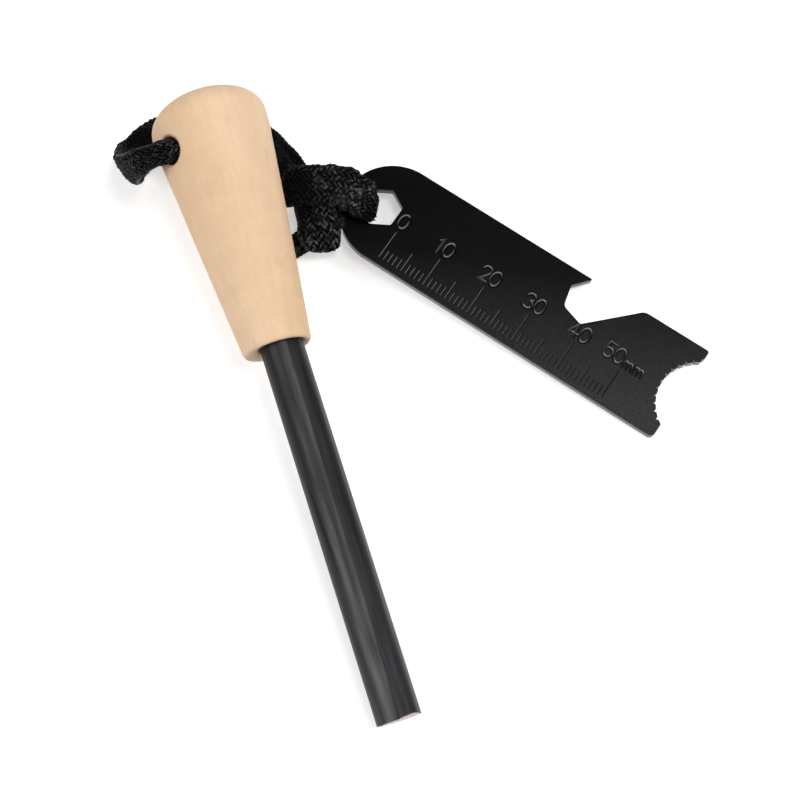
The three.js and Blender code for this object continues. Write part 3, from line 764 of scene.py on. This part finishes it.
# The scraped band, painted lighter as its highlight too, in radians from the top to the left: its
# crisp right edge, which sways and turns in at the tip, its soft left edge, and a painted shine on
# the far right
BAND_EDGE, SWAY, SWAY_LENGTH, CURL, CURL_REACH = -0.2, 0.05, 17, 0.27, 12
BAND_END, NARROWS, NARROWS_OVER = 1.22, 0.6, 45
BAND_CRISP, BAND_SOFT = 0.09, 0.75
SHINE_FROM, SHINE_SOFT = -0.85, 0.2


def scraped_and_highlit(turn, y):
    left = (turn + pi) % tau - pi
    edge = (BAND_EDGE + SWAY * np.sin(y / SWAY_LENGTH)
            + CURL * np.exp(-np.abs(y) / CURL_REACH))
    end = BAND_END - NARROWS * np.clip(y / NARROWS_OVER, 0, 1)
    lit = np.clip((left - edge) / BAND_CRISP, 0, 1) * np.clip((end - left) / BAND_SOFT, 0, 1)
    return np.maximum(lit, np.clip((SHINE_FROM - left) / SHINE_SOFT, 0, 1))


def make_rod():
    turn = np.linspace(0, tau, ROD_SIDES, endpoint=False)
    waves = sum(high * np.cos(count * turn + at) for count, high, at in END_WAVES)
    chip = np.clip(CHIP + waves * CHIP_WAVES
                   + CHIP_WORST * np.exp(-((turn - CHIP_AT) / CHIP_WIDE) ** 2), *CHIP_RANGE)
    # each ring's radius, place along the rod and bareness
    rings = [(1.2, 0.1 + 0.05 * waves, 1), (2.4, 0.06 + 0.1 * waves, 1), (3.35, 0.02, 1),
             (3.8, 0.1 + chip * 0.4, 1), (3.97, chip * 0.98, 1), (3.99, chip, 1),
             (ROD_RADIUS, chip + 0.04, 0.5), (ROD_RADIUS, chip + 0.16, 0.4),
             (ROD_RADIUS, chip + 0.2, 0)]
    even = (*np.linspace(1.4, 70, 90), *np.linspace(ROD_SHOWN, 99.6, 12))
    rings += [(ROD_RADIUS, y, 0) for y in even] + [(3.6, ROD_LENGTH, 0)]
    points, cut, band = [], [], []
    for radius, y, bare in rings:
        y = np.broadcast_to(y, turn.shape)
        r = radius * ROD_FULLER
        points.append(np.stack([ROD_ASIDE - r * np.sin(turn), y, r * np.cos(turn)], 1))
        cut += [bare] * ROD_SIDES
        band.append(scraped_and_highlit(turn, y))
    faces = tube_faces(0, len(rings), ROD_SIDES)
    obj = add_mesh("drawn_rod", from_rod(np.vstack(points)), faces, FERRO, ROD_SHARP_DEG, cut=cut,
                   band=np.concatenate(band))
    return fix_outward(obj)


rod = make_rod()
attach(rod, "handle")
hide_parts("ferro_rod")


# Glue: a thin sleeve with an uneven bead at the handle's rim
GLUE_SIDES, GLUE_SHARP_DEG = 72, 50
# The bead's middle and its waves: how high, how many and where they start
BEAD, BEAD_WAVES = 0.5, ((0.25, 3, 1), (0.15, 7, 0), (0.1, 13, 2))
# The section: radius, place along the rod and how far the waves move it
GLUE_ROWS = ((4.1, ROD_LENGTH, 0), (4.1, 71.75, 0), (4.1, 71.3, -0.3), (4.2, 71.33, -0.24),
             (4.3, 71.42, -0.1), (4.38, 71.6, 0), (4.24, 71.9, 0), (4.24, ROD_LENGTH, 0))


def make_glue():
    turn = np.linspace(0, tau, GLUE_SIDES, endpoint=False)
    wave = sum((high * np.cos(count * turn + at) for high, count, at in BEAD_WAVES), BEAD)
    points = [np.stack([-radius * np.sin(turn), y + swell * wave, radius * np.cos(turn)], 1)
              for radius, y, swell in GLUE_ROWS]
    rows = [range(k * GLUE_SIDES, (k + 1) * GLUE_SIDES) for k in range(len(GLUE_ROWS))]
    faces = [quad for a, b in zip(rows, rows[1:] + rows[:1]) for quad in bridge(a, b)]
    return fix_outward(add_mesh("glue_bead", from_rod(np.vstack(points)), faces, GLUE,
                                GLUE_SHARP_DEG))


glue = make_glue()
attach(glue, "handle")
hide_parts("rod_adhesive")


# Striker plate. Its own X runs from the hexagon's middle to the toothed end.
THICK, HALF, REACH = 2.0, 10.25, 67.87
ROUND_REACH, ROUND_POINTS, SHORT_HORN = 7.43, 57, 0.4
FLATS, HEX_CORNER = 7.3, 0.35
CORNER, LOWER_CORNER, TIGHT, WIDE = 0.6, 1.1, 0.4, 0.8
TIP_RADIUS, TOOTH_DEPTH, TEETH, TOOTH_PITCH = 8.69, 0.48, 12, radians(9.955)
ARC_BEYOND, ARC_RISE, SHOULDER = 4.25, 0.1, 0.4
# A tooth's outline: place along its pitch and share of its depth
TOOTH = [(-0.5, 0), (-0.38, 0.75), (-0.28, 1), (0.1, 1), (0.3, 0.92), (0.4, 0.5)]
# The opener's notch, the hook on its left and its sloping floor
OPENER, MOUTH, OPENER_DEPTH = 39.1, 11.7, 9.05
HOOK_REACH, HOOK_THICK = 2.8, 3.2
FLOOR_START, FLOOR_RISE, FLOOR_END = 0.95, 1.4, 5.5
POINT_GAP = 0.03  # the outline's least
LEAST_COSINE, CUT_LEAST_COSINE = 0.6, 0.55  # of a corner, which limits its offset
BEVEL, MIDWAY = 0.12, 0.35  # the second is a share of the first

# How the plate lies: its heading, its toothed end's dip, and the hexagon's middle
HEADING, TIP = radians(-51.21), asin(2.7 / REACH)
PLATE_U = np.array([cos(HEADING) * cos(TIP), sin(HEADING) * cos(TIP), -sin(TIP)])
PLATE_V = np.array([-sin(HEADING), cos(HEADING), 0])
PLATE_N = np.cross(PLATE_U, PLATE_V)
PLATE_O = np.array([26.65, 94.36, REACH * sin(TIP) + THICK * cos(TIP)])


def from_plate(points):
    p = np.asarray(points, float)
    return PLATE_O + p[:, :1] * PLATE_U + p[:, 1:2] * PLATE_V + p[:, 2:] * PLATE_N


def eased(corners, steps=6):
    """A line through corners of x, y and rounding, without the first and the last."""
    out = []
    for (bx, by, _), (x, y, ease), (ax, ay, _) in zip(corners, corners[1:], corners[2:]):
        b, c, a = np.array([(bx, by), (x, y), (ax, ay)])
        s = c + (b - c) / norm(b - c) * ease
        e = c + (a - c) / norm(a - c) * ease
        for t in np.linspace(0, 1, steps + 1):
            out.append(s * (1 - t) ** 2 + 2 * c * t * (1 - t) + e * t ** 2)
    return out


def plate_outline():
    centre = REACH + ARC_BEYOND
    first = pi - TOOTH_PITCH * (TEETH - 1) / 2
    teeth = []
    for k in range(TEETH):
        for along, deep in TOOTH:
            angle = first + TOOTH_PITCH * (k + along)
            r = TIP_RADIUS + TOOTH_DEPTH * (1 - deep)
            teeth.append((centre + r * cos(angle), ARC_RISE + r * sin(angle)))
    round_centre = HALF - ROUND_REACH
    round_end = [(round_centre + HALF * cos(t), HALF * sin(t))
                 for t in np.linspace(1.5 * pi, 0.5 * pi, ROUND_POINTS)]
    hook = OPENER + HOOK_REACH
    floor = HALF - OPENER_DEPTH
    opener = eased([(0, HALF, 0), (hook, HALF, TIGHT), (OPENER, HALF - HOOK_THICK, TIGHT),
                    (OPENER + FLOOR_START, floor + FLOOR_RISE, WIDE),
                    (OPENER + FLOOR_END, floor, TIGHT), (hook + MOUTH, HALF, WIDE),
                    (REACH, HALF, 0)])
    a, b = teeth[0], teeth[-1]
    upper = eased([(hook + MOUTH, HALF, 0), (REACH, HALF, CORNER),
                   (REACH, a[1] + SHOULDER, SHOULDER), (*a, 0)])
    lower = eased([(*b, 0), (REACH - SHORT_HORN, b[1] - SHOULDER, SHOULDER),
                   (REACH - SHORT_HORN, -HALF, LOWER_CORNER), (0, -HALF, 0)])
    kept = [round_end[0]]
    for p in np.array(round_end[1:] + opener + upper + teeth + lower):
        if norm(p - kept[-1]) > POINT_GAP:
            kept.append(p)
    return np.array(kept)


def hexagon():
    r = FLATS / 2 / cos(pi / 6)
    turns = [pi / 2 + k * pi / 3 for k in (5, 0, 1, 2, 3, 4, 5, 0)]
    return np.array(eased([(r * cos(t), r * sin(t), HEX_CORNER) for t in turns], 4))


def offset_in(loop, amount):
    """A clockwise loop moved to its right by a small amount."""
    def normal(d):
        d = d / np.maximum(norm(d, axis=1)[:, None], TINY)
        return np.stack([d[:, 1], -d[:, 0]], 1)

    a, b = normal(loop - np.roll(loop, 1, 0)), normal(np.roll(loop, -1, 0) - loop)
    mid = a + b
    mid /= np.maximum(norm(mid, axis=1)[:, None], TINY)
    stretch = np.clip((mid * a).sum(1), LEAST_COSINE, 1)
    return loop + mid * (amount / stretch)[:, None]


SAME_POINT = 1e-5
# The ruler's lines and numbers, cut as V grooves, and how bright a painted highlight makes their
# lit sides
GROOVE_HALF, GROOVE_DEPTH, GROOVE_HIGHLIGHT = 0.18, 0.13, 1.7
DIGIT_HALF, DIGIT_DEPTH, DIGIT_HIGHLIGHT = 0.27, 0.2, 1.0
# where the grooves' painted highlight peaks and their painted shade ends, and how strong these are
CUT_FLOOR, CUT_BEYOND = 0.4, 1.8  # where light peaks and shade ends, in half widths
FLOOR_LIT, SIDE_DARK, LIT_DARKER, DARK_LEAST = 0.4, 0.9, 0.7, 0.6
# The light's way over the plate, and how far along that it turns straight across
LIT_WAY, LIT_TURNS_BY = (-0.56, 0.83), 58
# The ruler's zero and lines, whose tops stand for each ten, each five and the others
RULER_ZERO, RULER_LINES, LINE_FOOT, LINE_TOPS = 5.47, 51, -8.8, (-2.9, -5.0, -7.0)
NUMBER_HEIGHT, UNIT_HEIGHT, LETTER_GAP = 3.2, 2.4, 0.1
NUMBERS = (("0", 5.47, -0.18), ("10", 15.04, -0.25), ("20", 25.32, -0.22), ("30", 35.32, -0.22),
           ("40", 45.47, -0.26), ("50", 53.07, -0.06))
UNIT = ("mm", 57.54, -0.53)


def arc(cx, cy, rx, ry, start, end, steps=14):
    t = np.radians(np.linspace(start, end, steps + 1))
    return [(cx + rx * cos(a), cy + ry * sin(a)) for a in t]


# Each character's width and strokes, in a box one unit high
GLYPHS = {
    "0": (0.62, [arc(0.31, 0.5, 0.29, 0.48, 90, 450, 28)]),
    "1": (0.4, [[(0.05, 0.78), (0.25, 0.98), (0.25, 0.02)]]),
    "2": (0.6, [arc(0.3, 0.7, 0.26, 0.28, 165, -35) + [(0.06, 0.02), (0.57, 0.02)]]),
    "3": (0.6, [arc(0.28, 0.74, 0.25, 0.24, 160, -80)
                 + arc(0.27, 0.26, 0.29, 0.25, 80, -155, 16)]),
    "4": (0.62, [[(0.43, 0.02), (0.43, 0.98), (0.03, 0.28), (0.6, 0.28)]]),
    "5": (0.6, [[(0.54, 0.98), (0.14, 0.98), (0.08, 0.54)]
                 + arc(0.28, 0.32, 0.28, 0.3, 130, -150, 16)]),
    "m": (0.86, [[(0.05, 0.0), (0.05, 0.62)], arc(0.235, 0.43, 0.185, 0.19, 180, 0, 8)
                 + [(0.42, 0.0)], arc(0.605, 0.43, 0.185, 0.19, 180, 0, 8) + [(0.79, 0.0)]]),
}


def text_strokes(text, x, y, height):
    """Strokes of a text whose middle is at x and y."""
    total = sum(GLYPHS[c][0] for c in text) + LETTER_GAP * (len(text) - 1)
    at = x - total * height / 2
    out = []
    for c in text:
        width, strokes = GLYPHS[c]
        for stroke in strokes:
            out.append([(at + px * height, y + (py - 0.5) * height) for px, py in stroke])
        at += (width + LETTER_GAP) * height
    return out


def ruler_strokes():
    ten, five, one = LINE_TOPS
    lines, texts = [], []
    for k in range(RULER_LINES):
        top = ten if k % 10 == 0 else five if k % 5 == 0 else one
        lines.append([(RULER_ZERO + k, LINE_FOOT), (RULER_ZERO + k, top)])
    for number in NUMBERS:
        texts += text_strokes(*number, NUMBER_HEIGHT)
    return lines, texts + text_strokes(*UNIT, UNIT_HEIGHT)


def groove(stroke, half):
    """The lines on both sides of a stroke, which pass the ends of an open one."""
    p = np.array(stroke, float)
    closed = norm(p[0] - p[-1]) < SAME_POINT
    d = unit(np.diff(p, axis=0))
    n = np.stack([-d[:, 1], d[:, 0]], 1)
    left, right = [], []
    for k in range(len(p)):
        if closed:
            a, b = n[(k - 1) % len(n)], n[k % len(n)]
        else:
            a, b = n[max(0, k - 1)], n[min(k, len(n) - 1)]
        m = a + b
        m /= max(norm(m), TINY)
        w = half / max(CUT_LEAST_COSINE, m @ a)
        past = 0 if closed or 0 < k < len(p) - 1 else (d[-1] if k else -d[0]) * half
        left.append(p[k] + m * w + past)
        right.append(p[k] - m * w + past)
    return np.array(left), np.array(right), closed


def stroke_offset(points, strokes, reach):
    """Each point's distance from the nearest stroke, how far it lies to that one's lit side,
    and how square the light falls across it."""
    best = np.full(len(points), 1e9)
    side, square = np.zeros((2, len(points)))
    for stroke in strokes:
        s = np.array(stroke)
        low, high = s.min(0) - reach, s.max(0) + reach
        near = np.where((points >= low).all(1) & (points <= high).all(1))[0]
        if not len(near):
            continue
        q = points[near]
        way = unit(np.stack([LIT_WAY[0] * (1 - q[:, 0] / LIT_TURNS_BY),
                             np.full(len(q), LIT_WAY[1])], 1))
        for a, b in zip(s[:-1], s[1:]):
            ab = b - a
            t = np.clip(((q - a) @ ab) / (ab @ ab), 0, 1)
            off = q - a - t[:, None] * ab
            away = norm(off, axis=1)
            across = np.array([-ab[1], ab[0]]) / norm(ab)
            lit = way @ across
            closer = away < best[near]
            side[near[closer]] = (lit * (off @ across) / np.maximum(away, TINY))[closer]
            square[near[closer]] = np.abs(lit)[closer]
            best[near] = np.minimum(best[near], away)
    return best, side, square


def inside(points, loop):
    x, y = points.T
    odd = np.zeros(len(points), bool)
    for (x1, y1), (x2, y2) in zip(loop, np.roll(loop, 1, 0)):
        if y1 != y2:
            odd ^= ((y1 > y) != (y2 > y)) & (x < (x2 - x1) * (y - y1) / (y2 - y1) + x1)
    return odd


def fill(loops, lines=()):
    """Triangles inside the first loop but not the others, with lines as edges."""
    coords, edges = [], []
    for line, closed in [(p, True) for p in loops] + [(p, False) for p in lines]:
        start, n = len(coords), len(line)
        coords += [Vector(p) for p in line]
        edges += [(start + i, start + (i + 1) % n) for i in range(n - 1 + closed)]
    verts, _, tris, *_ = delaunay_2d_cdt(coords, edges, [], 0, SAME_POINT)
    verts, tris = np.array([(v.x, v.y) for v in verts]), np.array(tris)
    middle = verts[tris].mean(1)
    keep = inside(middle, loops[0])
    for loop in loops[1:]:
        keep &= ~inside(middle, loop)
    return verts, tris[keep]


WELD_M, PLATE_SHARP_DEG = 2e-6, 12
# Rows down the plate's edge and wall: inset in bevels, height, how worn and how dark (painted
# shade)
WALL_ROWS = ((1, 0, 0, 0), (MIDWAY, -BEVEL * MIDWAY, 0, 0), (0, -BEVEL, 0, 1), (0, -0.72, 0, 1),
             (0, -0.8, 0.9, 0), (0, -THICK + BEVEL, 0.9, 0),
             (MIDWAY, -THICK + BEVEL * MIDWAY, 0.5, 0), (1, -THICK, 0.1, 0))
# the teeth's walls are worn where the other walls get painted shade
TEETH_WORN = 0.8  # where the other walls are dark
TEETH_REACH = TIP_RADIUS + TOOTH_DEPTH + 0.1


def make_plate():
    outline, hole = plate_outline(), hexagon()
    thin, bold = ruler_strokes()
    cuts = ((thin, GROOVE_HALF, GROOVE_DEPTH, GROOVE_HIGHLIGHT),
            (bold, DIGIT_HALF, DIGIT_DEPTH, DIGIT_HIGHLIGHT))
    lines = []
    for strokes, half, *_ in cuts:
        for stroke in strokes:
            lines.append(stroke)
            for reach in (half * CUT_FLOOR, half, half * CUT_BEYOND):
                left, right, closed = groove(stroke, reach)
                lines += [left, right] if closed else [np.vstack([left, right[::-1], left[:1]])]
    # the top, with its grooves
    rims = [offset_in(loop, BEVEL) for loop in (outline, hole)]
    verts, tris = fill(rims, lines)
    z, edge, deep = np.zeros((3, len(verts)))
    for strokes, half, depth, wear_and_highlight in cuts:
        away, side, square = stroke_offset(verts, strokes, half * CUT_BEYOND)
        z = np.minimum(z, np.interp(away, (0, half), (-depth, 0)))
        # painted highlight on each groove's lit side and painted shade on the other
        lit = np.maximum(side, 0)
        light = (FLOOR_LIT * square * np.interp(away, (0, half * CUT_FLOOR), (1, 0))
                 + lit * np.interp(away, (0, half * CUT_FLOOR, half), (0, 1, 0)))
        edge = np.maximum(edge, wear_and_highlight * light)
        dark = np.interp(away, (half * CUT_FLOOR, half, half * CUT_BEYOND), (1, SIDE_DARK, 0))
        deep = np.maximum(deep, dark * (1 - LIT_DARKER * lit)
                          * (DARK_LEAST + (1 - DARK_LEAST) * np.abs(side)))
    points, faces = [(x, y, h) for (x, y), h in zip(verts, z)], list(tris)
    edge, deep = list(edge), list(deep)
    # the underside
    start = len(points)
    verts, tris = fill(rims)
    points += [(x, y, -THICK) for x, y in verts]
    edge += [0] * len(verts)
    deep += [0] * len(verts)
    faces += list(tris[:, ::-1] + start)
    # rounded edges and walls
    for loop in (outline, hole):
        rows = []
        for inset, height, wear_and_highlight, dark in WALL_ROWS:
            ring = offset_in(loop, inset * BEVEL)
            rows.append(range(len(points), len(points) + len(ring)))
            points += [(x, y, height) for x, y in ring]
            teeth = np.hypot(ring[:, 0] - REACH - ARC_BEYOND, ring[:, 1] - ARC_RISE) < TEETH_REACH
            edge += [max(wear_and_highlight, TEETH_WORN) if tooth and dark else wear_and_highlight for tooth in teeth]
            deep += [dark] * len(ring)
        for a, b in zip(rows, rows[1:]):
            faces.extend(bridge(a, b))
    obj = fix_outward(add_mesh("stamped_striker", from_plate(points), faces, STEEL, edge=edge,
                               deep=deep), WELD_M)
    obj.data.set_sharp_from_angle(angle=radians(PLATE_SHARP_DEG))
    return obj


striker = make_plate()
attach(striker, "striker")
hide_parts("striker_plate")


# Floor, light and background
FLOOR_HALF_M, FLOOR_GLOW, WORLD_GLOW = 3.0, 0.48, 0.14
# Lamps that look at the middle: place and size in metres, and power in watts
LAMPS = {"above": ((0.22, -0.1, 0.93), 0.35, 2.8), "right": ((0.63, -0.17, 0.54), 0.35, 2.5),
         "back": ((0.55, 0.45, 0.55), 0.35, 1.7), "left": ((-0.62, -0.02, 0.5), 0.4, 3.0),
         "front": ((-0.05, -0.72, 0.33), 0.5, 0.8)}


def make_floor():
    """A pale floor, white where the camera sees it, that keeps the set's shadow."""
    m = Nodes("floor")
    path = m.add("ShaderNodeLightPath").outputs
    seen = m.math("MAXIMUM", path["Is Camera Ray"],
                  m.math("MAXIMUM", path["Is Glossy Ray"], path["Is Transmission Ray"]))
    m.finish(Base_Color=(0.8, 0.8, 0.8, 1), Roughness=0.9, Specular_IOR_Level=0.0,
             Emission_Color=(1, 1, 1, 1), Emission_Strength=m.math("MULTIPLY", seen, FLOOR_GLOW))
    data = bpy.data.meshes.new("floor")
    s = FLOOR_HALF_M
    data.from_pydata([(-s, -s, 0), (s, -s, 0), (s, s, 0), (-s, s, 0)], [], [(0, 1, 2, 3)])
    data.materials.append(m.material)
    floor = add_object("floor", data)
    floor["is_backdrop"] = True


def make_light():
    world = bpy.data.worlds.new("studio")
    scene.world = world
    world.use_nodes = True
    background = world.node_tree.nodes["Background"]
    background.inputs["Color"].default_value = (1, 1, 1, 1)
    background.inputs["Strength"].default_value = WORLD_GLOW
    for name, (at, size, watts) in LAMPS.items():
        data = bpy.data.lights.new(name, "AREA")
        data.shape, data.size, data.energy = "DISK", size, watts
        lamp = add_object(name, data)
        lamp.location = at
        lamp.rotation_euler = facing(Vector(at), Vector((0, 0, 0)))


make_floor()
make_light()
scene.view_settings.view_transform = "Standard"


def plain(value):
    return [plain(v) for v in value] if hasattr(value, "__len__") else float(value)


{"cad": plain(cad_box), "visual": plain(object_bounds())}
